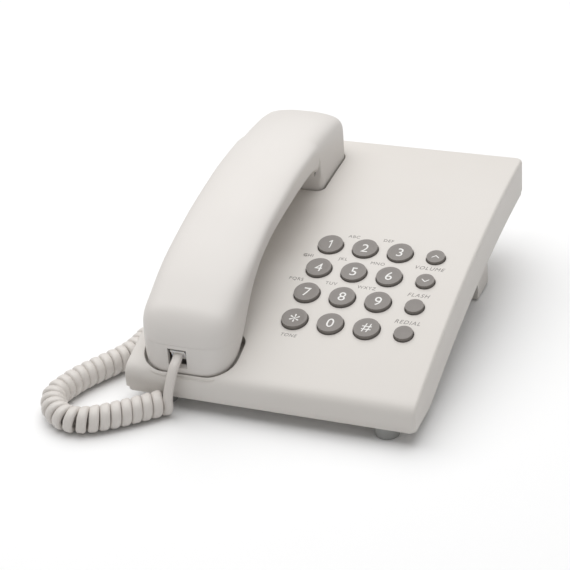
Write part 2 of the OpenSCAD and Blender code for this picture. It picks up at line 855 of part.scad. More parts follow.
// Route of the lead from the curly part to the base's plug
base_lead_points = [[-85.5, -47.5, 9], [-85.8, -43, 13], [-87, -37, 19], [-87.6, -30, 25.5],
    [-86.5, -24.5, 30.5], [-82.5, cord_jack_y, cord_jack_z], [-base_w / 2 - 2.25, cord_jack_y, cord_jack_z]];

// A tube of n sides swept along points, its rings square to the route
function unit(v) = v / norm(v);
function heading(p, i) = unit(p[min(i + 1, len(p) - 1)] - p[max(i - 1, 0)]);
function tube_ring(p, i, r, n, hint) =
    let (t = heading(p, i), a = unit(cross(t, hint)), b = cross(t, a))
    [for (k = [0 : n - 1]) p[i] + r * (cos(360 * k / n) * a + sin(360 * k / n) * b)];
module tube(p, r, n, hint) {
    skin_over([for (i = [0 : len(p) - 1]) tube_ring(p, i, r, n, hint)]);
}

module handset_lead() {
    color(cord_white) tube(lead_points, cord_d / 2, 8, [1, 0, 0]);
}

module curly_coil() {
    color(cord_white) tube(coil_points, coil_d / 2, 12, [0, 0, 1]);
}

module base_lead() {
    color(cord_white) tube(base_lead_points, cord_d / 2, 8, [0.3, 0.4, -0.86]);
}

module plug() {
    translate([-plug_w / 2, 0, -plug_h / 2]) cube([plug_w, plug_l, plug_h]);
    translate([-latch_w / 2, 0.5, -plug_h / 2 - 0.9]) cube([latch_w, 8, 0.92]);
}

module handset_plug() {
    color([0.92, 0.92, 0.9]) at_plug() translate([0, 0.6, 0]) plug();
}

module base_plug() {
    color([0.92, 0.92, 0.9])
    translate([-base_w / 2 - 2.2, cord_jack_y, cord_jack_z])
    rotate([0, 0, -90])
    plug();
}

upper_housing();
lower_housing();
desk_stand();
front_feet();
stand_pads();
keypad_mat();
circuit_board();
board_components();
ballast_plate();
ringer_buzzer();
hook_switch();
hook_plunger();
hook_spring();
line_jack();
base_cord_jack();
ringer_knob();
dial_mode_knob();
housing_screws();
handset_outer_shell();
handset_inner_shell();
receiver_capsule();
receiver_gasket();
microphone_capsule();
microphone_boot();
handset_weight();
handset_cord_jack();
handset_screws();
handset_plug();
handset_lead();
curly_coil();
base_lead();
base_plug();
for (k = KEYS)
    key(k[1], k[2]);
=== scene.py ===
# %% [markdown]
# # A corded desk phone
# The phone is an arched plastic base on a stand, a handset that lies in two cups, sixteen keys and a
# curly cord. Its solids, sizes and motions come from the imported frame, so this script only adds what
# the eye wants: smooth skins, rounded edges, print, finishes, light and a camera.

import json
import math

import bmesh
import bpy
from mathutils import Matrix, Vector
from mathutils.geometry import delaunay_2d_cdt


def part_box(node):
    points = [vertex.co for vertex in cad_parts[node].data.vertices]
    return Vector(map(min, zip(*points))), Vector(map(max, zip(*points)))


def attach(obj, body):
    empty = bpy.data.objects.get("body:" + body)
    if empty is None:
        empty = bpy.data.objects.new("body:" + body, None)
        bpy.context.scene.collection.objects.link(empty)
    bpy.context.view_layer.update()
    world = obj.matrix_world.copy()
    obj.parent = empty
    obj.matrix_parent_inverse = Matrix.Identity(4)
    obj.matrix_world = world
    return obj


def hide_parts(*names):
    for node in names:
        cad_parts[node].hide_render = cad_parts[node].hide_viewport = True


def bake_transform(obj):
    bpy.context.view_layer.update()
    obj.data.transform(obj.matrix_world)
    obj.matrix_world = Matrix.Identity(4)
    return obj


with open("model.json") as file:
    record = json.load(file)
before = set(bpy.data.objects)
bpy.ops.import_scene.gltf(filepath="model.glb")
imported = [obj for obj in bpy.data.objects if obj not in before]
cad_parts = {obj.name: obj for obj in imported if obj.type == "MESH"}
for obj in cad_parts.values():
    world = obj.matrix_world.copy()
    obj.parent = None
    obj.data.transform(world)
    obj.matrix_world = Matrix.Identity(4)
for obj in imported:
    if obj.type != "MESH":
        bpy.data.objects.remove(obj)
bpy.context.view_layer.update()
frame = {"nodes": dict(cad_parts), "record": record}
nodes = frame["nodes"]
scene = bpy.context.scene

# %% [markdown]
# ## Camera
# A long lens from the front right, well above the desk, gives the calm, nearly parallel view of a
# catalogue picture. A camera looks along its own -Z, so its turn is built from three directions:
# right, up and back. A small roll leans the picture a little.

# %% Camera
MM = 0.001
camera_place = Vector((0.29965, -0.76636, 0.48784))
yaw, pitch, roll = -0.4041, 0.5128, -0.0758
forward = Vector((math.sin(yaw) * math.cos(pitch), math.cos(yaw) * math.cos(pitch), -math.sin(pitch)))
level = Vector((math.cos(yaw), -math.sin(yaw), 0))
upward = level.cross(forward)
right = level * math.cos(roll) + upward * math.sin(roll)
up = upward * math.cos(roll) - level * math.sin(roll)
camera_data = bpy.data.cameras.new("camera")
camera_data.lens = 114.57
camera_data.clip_start = 0.01
camera = bpy.data.objects.new("camera", camera_data)
turn = Matrix((right, up, -forward)).transposed()
camera.matrix_world = Matrix.Translation(camera_place) @ turn.to_4x4()
scene.collection.objects.link(camera)
scene.camera = camera
print("camera", [round(v, 3) for v in camera_place], "lens", camera_data.lens)

# %% [markdown]
# ## Small helpers
# Shapes are worked out in millimetres, because that is how a phone is drawn, and they turn into
# metres when the mesh is made. Smooth shading with sharp edges kept by angle lets fine facets read as
# one curved face while true corners stay crisp.

# %% Mesh helpers
SHARP = math.radians(38)


def to_object(name, bm, material=None, sharp=SHARP):
    """A bmesh in millimetres becomes a smooth object in metres."""
    bm.transform(Matrix.Scale(MM, 4))
    bmesh.ops.recalc_face_normals(bm, faces=bm.faces)
    mesh = bpy.data.meshes.new(name)
    bm.to_mesh(mesh)
    bm.free()
    mesh.shade_smooth()
    mesh.set_sharp_from_angle(angle=sharp)
    obj = bpy.data.objects.new(name, mesh)
    scene.collection.objects.link(obj)
    if material:
        mesh.materials.append(material)
    return obj


def add_ring(bm, points):
    return [bm.verts.new(p) for p in points]


def bridge(bm, ring_a, ring_b, closed=True):
    """Quads between two rings with the same number of points."""
    n = len(ring_a)
    for k in range(n if closed else n - 1):
        bm.faces.new((ring_a[k], ring_a[(k + 1) % n], ring_b[(k + 1) % n], ring_b[k]))


def smooth_step(t):
    t = min(max(t, 0.0), 1.0)
    return t * t * (3 - 2 * t)


def bake_modifiers(obj):
    """Applies an object's modifiers by taking its evaluated mesh."""
    graph = bpy.context.evaluated_depsgraph_get()
    mesh = bpy.data.meshes.new_from_object(obj.evaluated_get(graph), depsgraph=graph)
    obj.modifiers.clear()
    obj.data = mesh
    return obj


def cut(obj, cutter, operation="DIFFERENCE"):
    """One exact boolean, applied at once, and the cutter is thrown away."""
    modifier = obj.modifiers.new("cut", "BOOLEAN")
    modifier.operation = operation
    modifier.solver = "EXACT"
    modifier.object = cutter
    bake_modifiers(obj)
    bpy.data.objects.remove(cutter)
    return obj


def soften(obj, width_mm, segments=2, angle=35):
    """A narrow bevel on true corners: moulded edges are never knife-sharp."""
    bevel = obj.modifiers.new("soft edge", "BEVEL")
    bevel.width = width_mm * MM
    bevel.segments = segments
    bevel.limit_method = "ANGLE"
    bevel.angle_limit = math.radians(angle)
    bevel.harden_normals = False
    bevel.use_clamp_overlap = True
    return obj


# %% [markdown]
# ## Shared finish effects
# Three effects return in almost every finish. Mould grain is the fine spark-eroded texture of the
# tool. Uneven tone is the slight yellowing and mixing that stops plastic from being one flat colour.
# Handling sheen is where palms have polished the grain. Each one is a shader node group with named
# sockets, built once and given its own values in each material.

# %% Node group helper
def new_group(name, inputs, outputs):
    group = bpy.data.node_groups.new(name, "ShaderNodeTree")
    for label, kind, value in inputs:
        socket = group.interface.new_socket(name=label, in_out="INPUT", socket_type=kind)
        socket.default_value = value
    for label, kind in outputs:
        group.interface.new_socket(name=label, in_out="OUTPUT", socket_type=kind)
    return group, group.nodes.new("NodeGroupInput"), group.nodes.new("NodeGroupOutput")


def wire(group, source, target):
    group.links.new(source, target)


# %% Mould grain
def make_grain_group():
    group, given, result = new_group(
        "Mould grain",
        [("Scale", "NodeSocketFloat", 900.0), ("Pits", "NodeSocketFloat", 0.35)],
        [("Height", "NodeSocketFloat")],
    )
    place = group.nodes.new("ShaderNodeTexCoord")
    fine = group.nodes.new("ShaderNodeTexNoise")
    fine.inputs["Detail"].default_value = 3.0
    fine.inputs["Roughness"].default_value = 0.6
    cells = group.nodes.new("ShaderNodeTexVoronoi")
    mix = group.nodes.new("ShaderNodeMix")
    wire(group, place.outputs["Object"], fine.inputs["Vector"])
    wire(group, place.outputs["Object"], cells.inputs["Vector"])
    wire(group, given.outputs["Scale"], fine.inputs["Scale"])
    wire(group, given.outputs["Scale"], cells.inputs["Scale"])
    wire(group, given.outputs["Pits"], mix.inputs[0])
    wire(group, fine.outputs["Fac"], mix.inputs[2])
    wire(group, cells.outputs["Distance"], mix.inputs[3])
    wire(group, mix.outputs[0], result.inputs["Height"])
    return group


grain_group = make_grain_group()
print("group", grain_group.name)


# %% Uneven tone
def make_tone_group():
    group, given, result = new_group(
        "Uneven tone",
        [
            ("Colour", "NodeSocketColor", (0.8, 0.8, 0.8, 1)),
            ("Aged colour", "NodeSocketColor", (0.7, 0.68, 0.6, 1)),
            ("Amount", "NodeSocketFloat", 0.2),
            ("Scale", "NodeSocketFloat", 14.0),
        ],
        [("Colour", "NodeSocketColor")],
    )
    place = group.nodes.new("ShaderNodeTexCoord")
    cloud = group.nodes.new("ShaderNodeTexNoise")
    cloud.inputs["Detail"].default_value = 4.0
    spread = group.nodes.new("ShaderNodeMapRange")
    spread.inputs["From Min"].default_value = 0.35
    spread.inputs["From Max"].default_value = 0.75
    share = group.nodes.new("ShaderNodeMath")
    share.operation = "MULTIPLY"
    mix = group.nodes.new("ShaderNodeMix")
    mix.data_type = "RGBA"
    wire(group, place.outputs["Object"], cloud.inputs["Vector"])
    wire(group, given.outputs["Scale"], cloud.inputs["Scale"])
    wire(group, cloud.outputs["Fac"], spread.inputs["Value"])
    wire(group, spread.outputs["Result"], share.inputs[0])
    wire(group, given.outputs["Amount"], share.inputs[1])
    wire(group, share.outputs[0], mix.inputs[0])
    wire(group, given.outputs["Colour"], mix.inputs[6])
    wire(group, given.outputs["Aged colour"], mix.inputs[7])
    wire(group, mix.outputs[2], result.inputs["Colour"])
    return group


tone_group = make_tone_group()
print("group", tone_group.name)


# %% Handling sheen
def make_sheen_group():
    group, given, result = new_group(
        "Handling sheen",
        [
            ("Roughness", "NodeSocketFloat", 0.5),
            ("Change", "NodeSocketFloat", 0.08),
            ("Scale", "NodeSocketFloat", 22.0),
        ],
        [("Roughness", "NodeSocketFloat")],
    )
    place = group.nodes.new("ShaderNodeTexCoord")
    smear = group.nodes.new("ShaderNodeTexNoise")
    smear.inputs["Detail"].default_value = 5.0
    smear.inputs["Roughness"].default_value = 0.65
    centre = group.nodes.new("ShaderNodeMath")
    centre.operation = "SUBTRACT"
    centre.inputs[1].default_value = 0.5
    add = group.nodes.new("ShaderNodeMath")
    add.operation = "MULTIPLY_ADD"
    wire(group, place.outputs["Object"], smear.inputs["Vector"])
    wire(group, given.outputs["Scale"], smear.inputs["Scale"])
    wire(group, smear.outputs["Fac"], centre.inputs[0])
    wire(group, centre.outputs[0], add.inputs[0])
    wire(group, given.outputs["Change"], add.inputs[1])
    wire(group, given.outputs["Roughness"], add.inputs[2])
    wire(group, add.outputs[0], result.inputs["Roughness"])
    return group


sheen_group = make_sheen_group()
print("group", sheen_group.name)


# %% [markdown]
# ## Finishes
# Every finish is one Principled shader fed by the three groups. What changes from piece to piece is
# the colour, how rough the grain is and how deep its bump goes.

# %% Finish maker
def finish(
    name, colour, aged, roughness, grain=900.0, pits=0.35, bump=0.25, amount=0.35, change=0.12,
    metallic=0.0, specular=0.5, coat=0.0, tone_scale=14.0, bump_distance=0.00004, subsurface=0.0,
):
    material = bpy.data.materials.new(name)
    material.use_nodes = True
    tree = material.node_tree
    shader = tree.nodes["Principled BSDF"]
    shader.inputs["Metallic"].default_value = metallic
    shader.inputs["Specular IOR Level"].default_value = specular
    shader.inputs["Coat Weight"].default_value = coat
    shader.inputs["Subsurface Weight"].default_value = subsurface
    shader.inputs["Subsurface Radius"].default_value = (0.004, 0.003, 0.002)
    tone = tree.nodes.new("ShaderNodeGroup")
    tone.node_tree = tone_group
    tone.inputs["Colour"].default_value = (*colour, 1)
    tone.inputs["Aged colour"].default_value = (*aged, 1)
    tone.inputs["Amount"].default_value = amount
    tone.inputs["Scale"].default_value = tone_scale
    sheen = tree.nodes.new("ShaderNodeGroup")
    sheen.node_tree = sheen_group
    sheen.inputs["Roughness"].default_value = roughness
    sheen.inputs["Change"].default_value = change
    texture = tree.nodes.new("ShaderNodeGroup")
    texture.node_tree = grain_group
    texture.inputs["Scale"].default_value = grain
    texture.inputs["Pits"].default_value = pits
    relief = tree.nodes.new("ShaderNodeBump")
    relief.inputs["Strength"].default_value = bump
    relief.inputs["Distance"].default_value = bump_distance
    wire(tree, tone.outputs["Colour"], shader.inputs["Base Color"])
    wire(tree, sheen.outputs["Roughness"], shader.inputs["Roughness"])
    wire(tree, texture.outputs["Height"], relief.inputs["Height"])
    wire(tree, relief.outputs["Normal"], shader.inputs["Normal"])
    return material


# %% The finishes of this phone
finishes = {
    "housing_plastic": finish("housing plastic", (0.7, 0.67, 0.635), (0.66, 0.62, 0.575), 0.52),
    "handset_plastic": finish("handset plastic", (0.73, 0.7, 0.67), (0.69, 0.655, 0.615), 0.44, bump=0.15),
    "key_plastic": finish("key plastic", (0.235, 0.215, 0.2), (0.2, 0.18, 0.165), 0.46, grain=1200.0),
    "grey_rubber": finish("grey rubber", (0.36, 0.36, 0.35), (0.3, 0.3, 0.29), 0.8, grain=600.0, bump=0.5),
    "board_laminate": finish("board laminate", (0.42, 0.3, 0.13), (0.3, 0.22, 0.1), 0.5, amount=0.6),
    "black_plastic": finish("black plastic", (0.022, 0.022, 0.024), (0.04, 0.04, 0.04), 0.45),
    "steel": finish(
        "plated steel", (0.56, 0.57, 0.58), (0.42, 0.42, 0.43), 0.34, metallic=1.0, grain=1500.0, pits=0.1
    ),
    "clear_plug_plastic": finish(
        "plug plastic", (0.76, 0.75, 0.72), (0.7, 0.69, 0.65), 0.2, bump=0.05, subsurface=0.3
    ),
    "cord_jacket": finish(
        "cord jacket", (0.7, 0.665, 0.63), (0.65, 0.6, 0.55), 0.4, grain=700.0, bump=0.12, tone_scale=40.0
    ),
}
digit_print = finish("digit print", (0.82, 0.81, 0.79), (0.74, 0.73, 0.7), 0.55, bump=0.1, amount=0.3)
label_print = finish("label print", (0.2, 0.185, 0.175), (0.26, 0.24, 0.23), 0.6, bump=0.1, amount=0.5)
print("finishes", sorted(finishes))

# %% [markdown]
# ## The arch
# The top of the base is part of a long cylinder that lies across it. Two functions describe it: the
# height of the surface at a place, and a bend that wraps a flat drawing, with x across, v along the
# curve and a depth under the surface, round that cylinder. Everything on the base is drawn flat
# first and bent afterwards, so that every wall stays square to the surface like the real moulding.

# %% The arch
TOP_R = 625.0
SLAB_T = 20.3
FRONT_GAP = 1.2
FLAT_H = 7.6
SEAM_H = 2.4
base_lo, base_hi = (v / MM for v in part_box("upper_housing"))
BASE_W = base_hi.x - base_lo.x
BASE_D = 200.0
arc_y = BASE_D / 2 + TOP_R * math.sin(math.radians(1.1))
arc_h = FRONT_GAP - (TOP_R - SLAB_T) * math.cos(math.asin((arc_y + BASE_D / 2) / TOP_R))


def height_at(y, depth=0.0):
    return arc_h + math.sqrt((TOP_R - depth) ** 2 - (arc_y - y) ** 2)


def along(y):
    """Distance along the curve, from its crest, of the surface point above y."""
    return -TOP_R * math.asin((arc_y - y) / TOP_R)


def bend(x, v, depth=0.0):
    angle = -v / TOP_R
    return Vector((x, arc_y - (TOP_R - depth) * math.sin(angle), arc_h + (TOP_R - depth) * math.cos(angle)))


V_FRONT, V_REAR = along(-BASE_D / 2), along(BASE_D / 2)
print("arch: front", round(height_at(-BASE_D / 2), 2), "rear", round(height_at(BASE_D / 2), 2), "mm")

# %% [markdown]
# At the front the skin leaves the long arch, rolls over a lip and drops upright to the seam. The flat
# drawing simply runs on over both, so one place function bends the whole skin.

# %% The front lip
LIP_R = 7.0
lip_y = -BASE_D / 2 + LIP_R
lip_z = height_at(lip_y, LIP_R)
lip_slope = math.asin((arc_y - lip_y) / (TOP_R - LIP_R))
V_LIP = -TOP_R * lip_slope
LIP_ARC = LIP_R * (math.pi / 2 - lip_slope)
SEAM_Z = FLAT_H + SEAM_H
V_SKIRT = V_LIP - LIP_ARC - (lip_z - SEAM_Z)


def skin_place(x, v, depth=0.0):
    if v >= V_LIP:
        return bend(x, v, depth)
    turned = lip_slope + min(V_LIP - v, LIP_ARC) / LIP_R
    drop = max(0.0, V_LIP - v - LIP_ARC)
    r = LIP_R - depth
    return Vector((x, lip_y - r * math.sin(turned), lip_z + r * math.cos(turned) - drop))


def seam_height(y):
    return max(height_at(y, SLAB_T - SEAM_H), SEAM_Z)


print("lip from v", round(V_LIP, 1), "to", round(V_SKIRT, 1))

# %% [markdown]
# ## The curly cord
# A handset cord is a flat ribbon of soft vinyl wound hard on a mandrel, so its turns lie side by side
# like a spring. It could be a curve with a round bevel, but the ribbon's section must stay square to
# the turn, so the tube is swept by hand. The coil's middle line and both leads are the same routes as
# in the frame, and the helix is worked out around the middle line.

# %% Cord routes
CORD_W, CORD_T = 5.1, 3.6
COIL_D = 13.3
TURN_PITCH = 5.3
RING_SIDES = 12
WIDE_POWER, THICK_POWER = 0.6, 0.9
HANDSET_Y = -97.5
HANDSET_X = -44.0
PLUG_TILT = math.radians(27)
plug_out = Vector((0, -math.cos(PLUG_TILT), -math.sin(PLUG_TILT)))
plug_face = Vector((HANDSET_X - 2, HANDSET_Y + 1.5, height_at(HANDSET_Y) + 8.2)) - 0.6 * plug_out
JACK_Y = -22.0
jack_face = Vector((-BASE_W / 2 - 2.2, JACK_Y, height_at(JACK_Y) - SLAB_T / 2))
lead_route = [
    plug_face, plug_face + 3.6 * plug_out, (-46.3, -101.9, 25.8), (-47, -104.2, 21.5), (-47.8, -106, 16.5),
    (-48.5, -107.1, 11.5),
]
coil_route = [
    (-52, -103.8), (-57, -108.5), (-63, -113.8), (-69, -119), (-75.5, -124), (-82, -128), (-89, -130),
    (-96, -128.5), (-102.5, -123.5), (-106.5, -116.5), (-107.3, -112.5), (-107, -108.5), (-103.5, -97),
    (-98, -86), (-92, -75.5), (-88, -67), (-86, -57), (-85.5, -48),
]
base_lead_route = [
    (-81, -46.5, 12), (-83, -43, 16.5), (-86, -37, 20.5), (-87.6, -30, 25.5), (-86.5, -24.5, 30.5),
    (-82.5, JACK_Y, jack_face.z), jack_face,
]


def through(points, step):
    """A smooth line through points, cut into equal steps."""
    points = [Vector(p) for p in points]
    ends = [2 * points[0] - points[1], *points, 2 * points[-1] - points[-2]]
    fine = []
    for a, b, c, d in zip(ends, ends[1:], ends[2:], ends[3:]):
        for k in range(24):
            t = k / 24
            fine.append(0.5 * ((2 * b) + (c - a) * t + (2 * a - 5 * b + 4 * c - d) * t**2
                               + (3 * b - a - 3 * c + d) * t**3))
    fine.append(points[-1])
    return even_steps(fine, step)


def even_steps(line, step):
    lengths = [0.0]
    for a, b in zip(line, line[1:]):
        lengths.append(lengths[-1] + (b - a).length)
    count = max(2, round(lengths[-1] / step))
    out, i = [], 0
    for k in range(count + 1):
        want = lengths[-1] * k / count
        while i < len(line) - 2 and lengths[i + 1] < want:
            i += 1
        span = lengths[i + 1] - lengths[i]
        out.append(line[i].lerp(line[i + 1], (want - lengths[i]) / span if span else 0))
    return out


def line_length(line):
    return sum((b - a).length for a, b in zip(line, line[1:]))


# %% [markdown]
# The first lead comes down on the front side of the coil and the last one leaves upward on its other
# side, so the helix starts and ends on its flanks, where it runs straight down and straight up, and
# the leads flow into it without a kink. That makes the number of turns a whole number and a half.

# %% The helix
middle = through([(x, y, COIL_D / 2) for x, y in coil_route], 0.5)
middle_length = line_length(middle)
turns = round(middle_length / TURN_PITCH) + 0.5
turn_r = (COIL_D - CORD_T) / 2
POINTS_PER_TURN = 18
START_PHASE = math.pi


def helix():
    line = []
    count = round(turns * POINTS_PER_TURN)
    for k in range(count + 1):
        place = k / count * (len(middle) - 1)
        i = min(int(place), len(middle) - 2)
        centre = middle[i].lerp(middle[i + 1], place - i)
        ahead = (middle[min(i + 3, len(middle) - 1)] - middle[max(i - 2, 0)]).normalized()
        side = ahead.cross(Vector((0, 0, 1))).normalized()
        phase = START_PHASE + 2 * math.pi * k / POINTS_PER_TURN
        line.append(centre + turn_r * (math.cos(phase) * side + math.sin(phase) * Vector((0, 0, 1))))
    return line


winding = helix()
LEAD_STEP = 1.2
first_lead = through([*lead_route, winding[0], winding[2]], LEAD_STEP)
last_lead = through([winding[-3], winding[-1], *base_lead_route], LEAD_STEP)
cord_line = [p for p in first_lead if p.z > winding[0].z + 0.8] + winding
cord_line += [p for p in last_lead if p.z > winding[-1].z + 0.8]
cord_length = line_length(cord_line)
print("cord", round(cord_length), "mm long,", turns, "turns on a", round(middle_length), "mm coil")


# %% [markdown]
# The ribbon's section is an oval with a flattened side. That side faces the coil's middle line on the turns,
# so at each point the section's direction comes from the nearest point of that line, and along the
# leads it fades into a fixed one.

# %% The cord's tube
def nearest_middle(point, start):
    best = min(range(max(0, start - 30), min(len(middle), start + 30)),
               key=lambda i: (middle[i] - point).length_squared)
    return best


def sweep_cord(name, line, material):
    bm = bmesh.new()
    rings = []
    at = 0
    flat = None
    for i, point in enumerate(line):
        heading = (line[min(i + 1, len(line) - 1)] - line[max(i - 1, 0)]).normalized()
        at = nearest_middle(point, at)
        outward = point - middle[at]
        near = outward.length < 2 * turn_r and 0 < at < len(middle) - 1
        want = outward.normalized() if near else (flat or Vector((0, -1, 0.3)))
        want = (want - heading * want.dot(heading)).normalized()
        flat = want if flat is None else (flat * 0.6 + want * 0.4)
        flat = (flat - heading * flat.dot(heading)).normalized()
        across = heading.cross(flat)
        ring = []
        for k in range(RING_SIDES):
            a = 2 * math.pi * (k + 0.5) / RING_SIDES
            u = math.copysign(abs(math.cos(a)) ** WIDE_POWER, math.cos(a)) * CORD_W / 2
            w = math.copysign(abs(math.sin(a)) ** THICK_POWER, math.sin(a)) * CORD_T / 2
            ring.append(point + across * u + flat * w)
        rings.append(add_ring(bm, ring))
    for a, b in zip(rings, rings[1:]):
        bridge(bm, a, b)
    bm.faces.new(rings[0])
    bm.faces.new(rings[-1])
    return to_object(name, bm, material)


cord = sweep_cord("curly_cord", cord_line, finishes["cord_jacket"])
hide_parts("handset_lead", "curly_coil", "base_lead")
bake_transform(cord)
print("cord faces", len(cord.data.polygons))

# %% [markdown]
# ## The handset
# The handset is two thin shells that meet along a seam low on its sides. Its form could be sculpted
# with a subdivision cage, but the crown and the underside are simple curves in side view and every
# cross-section is a soft-cornered box, so a loft of superellipse rings gives the exact form with
# even, smooth faces. The corners are soft at the mouth and crisp at the ear.

# %% Handset curves
HANDSET_L = 185.5
HANDSET_W = 46.0
front_h = height_at(HANDSET_Y)
chord = (height_at(HANDSET_Y + HANDSET_L) - front_h) / HANDSET_L
crown_points = [
    (-3, 25), (11, 30.5), (29, 35.7), (50, 38.8), (74, 40.8), (102, 40.4), (127, 37.8), (147, 34.7),
    (167, 30.2), (177, 26.8), (189, 21.6),
]
belly_points = [
    (-1, -6), (9, -4.2), (17, -2.6), (24, 3), (33, 13), (43, 20.6), (57, 25), (77, 26.6), (97, 25.7),
    (117, 23.9), (129, 22), (135, 19.8), (139, 16), (141.2, 10), (141.8, 1.4), (144, -0.6),
    (162, -4.2), (190, -9.4),
]
seam_points = [
    (-5, 15.5), (12, 13), (24, 14), (36, 20), (50, 25.5), (64, 28), (97, 28.3), (122, 25.5),
    (132, 22.5), (138.5, 19), (141, 12), (142.5, 5), (145, 3), (162, -1), (195, -7.5),
]


def gentle(points, x):
    """Height at x of a smooth curve through points that never overshoots them."""
    i = 0
    while i < len(points) - 2 and x >= points[i + 1][0]:
        i += 1

    def secant(j):
        return (points[j + 1][1] - points[j][1]) / (points[j + 1][0] - points[j][0])

    def slope(j):
        if j == 0 or j == len(points) - 1:
            return secant(min(j, len(points) - 2))
        a, b = secant(j - 1), secant(j)
        return 0 if a * b <= 0 else 2 / (1 / a + 1 / b)

    h = points[i + 1][0] - points[i][0]
    t = (x - points[i][0]) / h
    return (points[i][1] * (1 + 2 * t) * (1 - t) ** 2 + points[i + 1][1] * t * t * (3 - 2 * t)
            + h * (slope(i) * t * (1 - t) ** 2 - slope(i + 1) * t * t * (1 - t)))


def chord_h(s):
    return front_h + chord * s


def ease(t, n):
    t = min(max(t, 0.0), 1.0)
    return (1 - t**n) ** (1 / n)


# %% Handset rings
NOSE_R, HEEL_R = 15.0, 10.0
MOUTH_FLARE = 1.0
CROWN_DROP = 3.0
RING_POINTS = 120


def section(s, inset):
    front = lambda r, n: ease((inset + r - s) / r, n)
    rear = lambda r, n: ease((s - (HANDSET_L - inset - r)) / r, n)
    half = (HANDSET_W / 2 - inset + MOUTH_FLARE * (1 - smooth_step((s - 25) / 45))
            - (NOSE_R - inset) * (1 - front(NOSE_R - inset, 2.2))
            - (HEEL_R - inset) * (1 - rear(HEEL_R - inset, 2.2)))
    top = (chord_h(s) + gentle(crown_points, s) - inset - (10 - inset) * (1 - front(10 - inset, 2))
           - (7 - inset) * (1 - rear(7 - inset, 2)))
    low = (chord_h(s) + gentle(belly_points, s) + inset + 7 * (1 - front(8, 2)) + 2 * (1 - rear(3, 2)))
    return half, top, low


def handset_ring(s, inset):
    half, top, low = section(s, inset)
    middle_h = low + 0.42 * (top - low)
    grip = smooth_step((s - 37) / 90)
    loop = []
    fine = 720
    for k in range(fine):
        a = 2 * math.pi * (k + 0.5) / fine
        c, v = -math.cos(a), math.sin(a)
        n = 5.5 + 2 * grip if v > 0 else 5 + grip
        rise = abs(v) ** (2 / n)
        narrow = pinch(s - inset) * smooth_step(2 * rise) if v < 0 else 0
        u = (half - narrow) * math.copysign(abs(c) ** (2 / n), c)
        z = middle_h + (top - middle_h) * rise if v > 0 else middle_h - (middle_h - low) * rise
        z -= CROWN_DROP * rise * (2 * u / HANDSET_W) ** 2 if v > 0 else 0
        loop.append(Vector((HANDSET_X + u, HANDSET_Y + s, z)))
    loop.append(loop[0])
    return even_steps(loop, line_length(loop) / RING_POINTS)[:RING_POINTS]


BLOCK_S, BLOCK_R = 141.3, 3.5


def pinch(s):
    """How much narrower the ear block is low down at s, which rounds its two front edges."""
    return BLOCK_R * smooth_step((s - BLOCK_S + 3.3) / 3) * (1 - ease((BLOCK_S + BLOCK_R - s) / BLOCK_R, 2))


def ring_places(inset):
    places = [inset + (NOSE_R - inset) * (1 - math.cos(math.radians(6 * k))) for k in range(16)]
    places += [NOSE_R + 2 * k for k in range(1, 60)]
    places += [134 + 0.5 * k for k in range(0, 22)] + [141.1 + inset + 0.15 * k for k in range(8)]
    places += [145 + 2.5 * k for k in range(0, 13)]
    heel = HEEL_R - inset
    places += [HANDSET_L - inset - heel * (1 - math.sin(math.radians(6 * k))) for k in range(16)]
    return sorted(set(round(p, 3) for p in places))


def handset_form(name, inset):
    bm = bmesh.new()
    places = [s for s in ring_places(inset)]
    places = [a for a, b in zip(places, places[1:] + [1e9]) if b - a > 0.02]
    rings = [add_ring(bm, handset_ring(s, inset)) for s in places]
    for a, b in zip(rings, rings[1:]):
        bridge(bm, a, b)
    bm.faces.new(rings[0])
    bm.faces.new(rings[-1])
    return to_object(name, bm)


handset_body = handset_form("handset_form", 0.0)
print("handset form", len(handset_body.data.polygons), "faces")


# %% [markdown]
# The solid form is hollowed with a smaller copy of itself, then split along the seam with a wide
# slab whose lower edge is the seam line. The narrow bevel afterwards gives both shells the fine
# parting groove that shows on any two-part moulding. The cord's opening is cut through both.

# %% Handset shells
SHELL_T = 2.2


def seam_slab(name, above, gap):
    """A slab as wide as the handset, above or below the seam line."""
    bm = bmesh.new()
    line = [(HANDSET_Y + s, chord_h(s) + gentle(seam_points, s) + gap) for s in range(-5, 196, 1)]
    far = 150.0 if above else -30.0
    left = [bm.verts.new((HANDSET_X - 60, y, z)) for y, z in line]
    left_far = [bm.verts.new((HANDSET_X - 60, y, far)) for y, z in line]
    rightward = [bm.verts.new((HANDSET_X + 60, y, z)) for y, z in line]
    right_far = [bm.verts.new((HANDSET_X + 60, y, far)) for y, z in line]
    for a, b in ((left, left_far), (left_far, right_far), (right_far, rightward), (rightward, left)):
        bridge(bm, a, b, closed=False)
    for end in (0, -1):
        bm.faces.new((left[end], left_far[end], right_far[end], rightward[end]))
    return to_object(name, bm)


def box_cutter(name, lo, hi, turn=Matrix.Identity(4)):
    bm = bmesh.new()
    bmesh.ops.create_cube(bm, size=1.0)
    size = [h - l for l, h in zip(lo, hi)]
    centre = [(h + l) / 2 for l, h in zip(lo, hi)]
    bm.transform(turn @ Matrix.Translation(centre) @ Matrix.Diagonal((*size, 1)))
    return to_object(name, bm)


